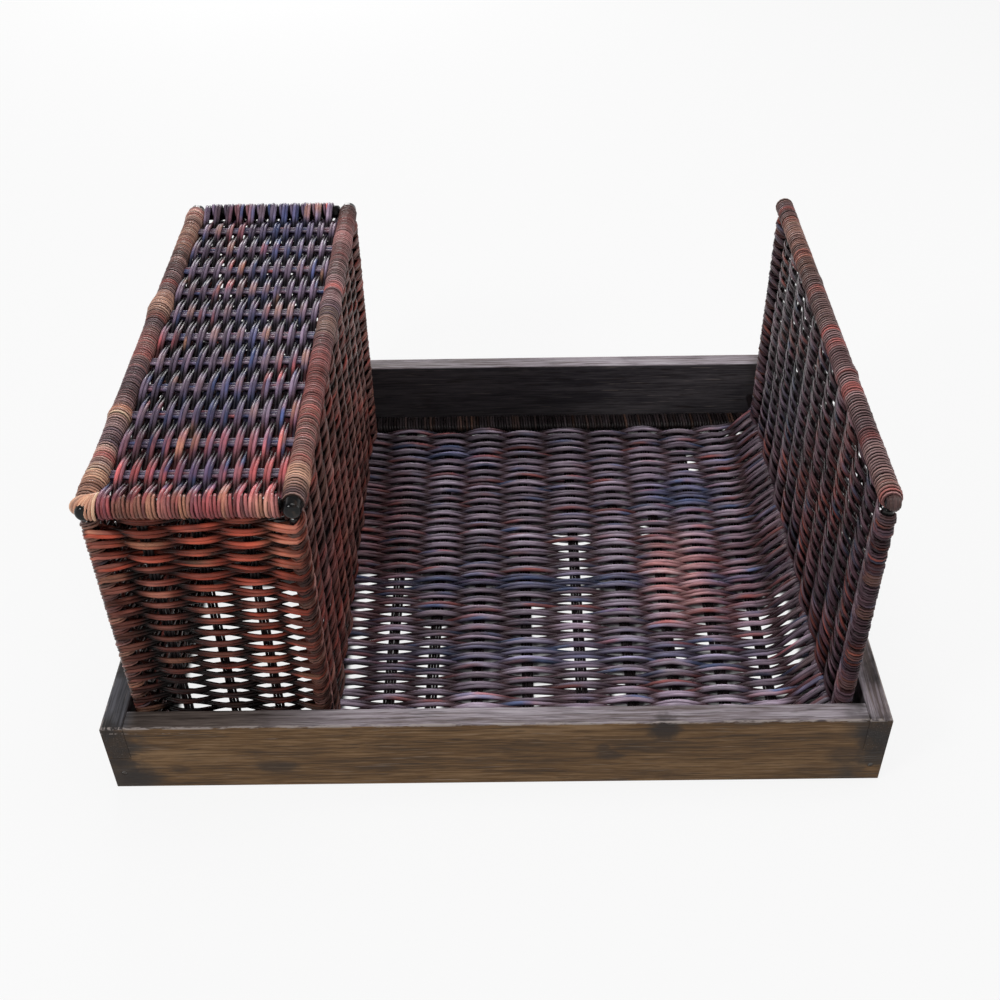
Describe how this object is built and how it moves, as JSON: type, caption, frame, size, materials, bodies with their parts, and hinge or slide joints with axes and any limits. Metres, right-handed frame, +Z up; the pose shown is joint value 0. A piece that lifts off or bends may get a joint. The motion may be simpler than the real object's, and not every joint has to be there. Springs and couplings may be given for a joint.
{
  "type": "woven caddy tray",
  "caption": "Rattan caddy: a tall woven box with pockets and a woven side panel over a woven floor, held in a finger-jointed wooden tray frame.",
  "frame": {"origin": "middle of the wooden frame, on the surface that it stands on", "axes": "+X along the long rails from the box to the side panel, +Y from the front rail to the back rail, +Z up"},
  "size_m": [0.62, 0.512, 0.2849],
  "materials": {
    "frame_wood": "stained and worn",
    "rattan_weave": "dyed and lacquered",
    "rattan_peel": "dyed and lacquered",
    "rattan_pole": "glossy lacquer",
    "nail_steel": "dull"
  },
  "bodies": {
    "root": {"border_nail_back_1": "nail_steel", "border_nail_back_2": "nail_steel", "border_nail_back_3": "nail_steel", "border_nail_front_1": "nail_steel", "border_nail_front_2": "nail_steel", "border_nail_front_3": "nail_steel", "box_back_stakes": "rattan_pole", "box_back_weave": "rattan_weave", "box_corner_back_left": "rattan_weave", "box_corner_back_right": "rattan_weave", "box_corner_front_left": "rattan_weave", "box_corner_front_right": "rattan_weave", "box_front_stakes": "rattan_pole", "box_front_weave": "rattan_weave", "box_left_stakes": "rattan_pole", "box_left_weave": "rattan_weave", "box_post_back_left": "rattan_pole", "box_post_back_right": "rattan_pole", "box_post_front_left": "rattan_pole", "box_post_front_right": "rattan_pole", "box_right_stakes": "rattan_pole", "box_right_weave": "rattan_weave", "box_top_binding_left": "rattan_peel", "box_top_binding_right": "rattan_peel", "box_top_rod_back": "rattan_pole", "box_top_rod_front": "rattan_pole", "box_top_rod_right": "rattan_pole", "box_top_stakes": "rattan_pole", "box_top_weave": "rattan_weave", "box_top_wrap_back": "rattan_weave", "box_top_wrap_front": "rattan_weave", "corner_nail_back_left": "nail_steel", "corner_nail_back_right": "nail_steel", "corner_nail_front_left": "nail_steel", "corner_nail_front_right": "nail_steel", "divider_stakes": "rattan_pole", "divider_weave": "rattan_weave", "floor_binding_back": "rattan_peel", "floor_border_rod_1": "rattan_pole", "floor_border_rod_2": "rattan_pole", "floor_border_rod_3": "rattan_pole", "floor_edge_weave": "rattan_weave", "floor_stakes": "rattan_pole", "floor_weave": "rattan_weave", "panel_corner_back": "rattan_weave", "panel_corner_front": "rattan_weave", "panel_post_back": "rattan_pole", "panel_post_front": "rattan_pole", "panel_stakes": "rattan_pole", "panel_top_binding": "rattan_peel", "panel_top_rod": "rattan_pole", "panel_weave": "rattan_weave", "rail_back": "frame_wood", "rail_front": "frame_wood", "rail_left": "frame_wood", "rail_right": "frame_wood"}
  },
  "joints": []
}
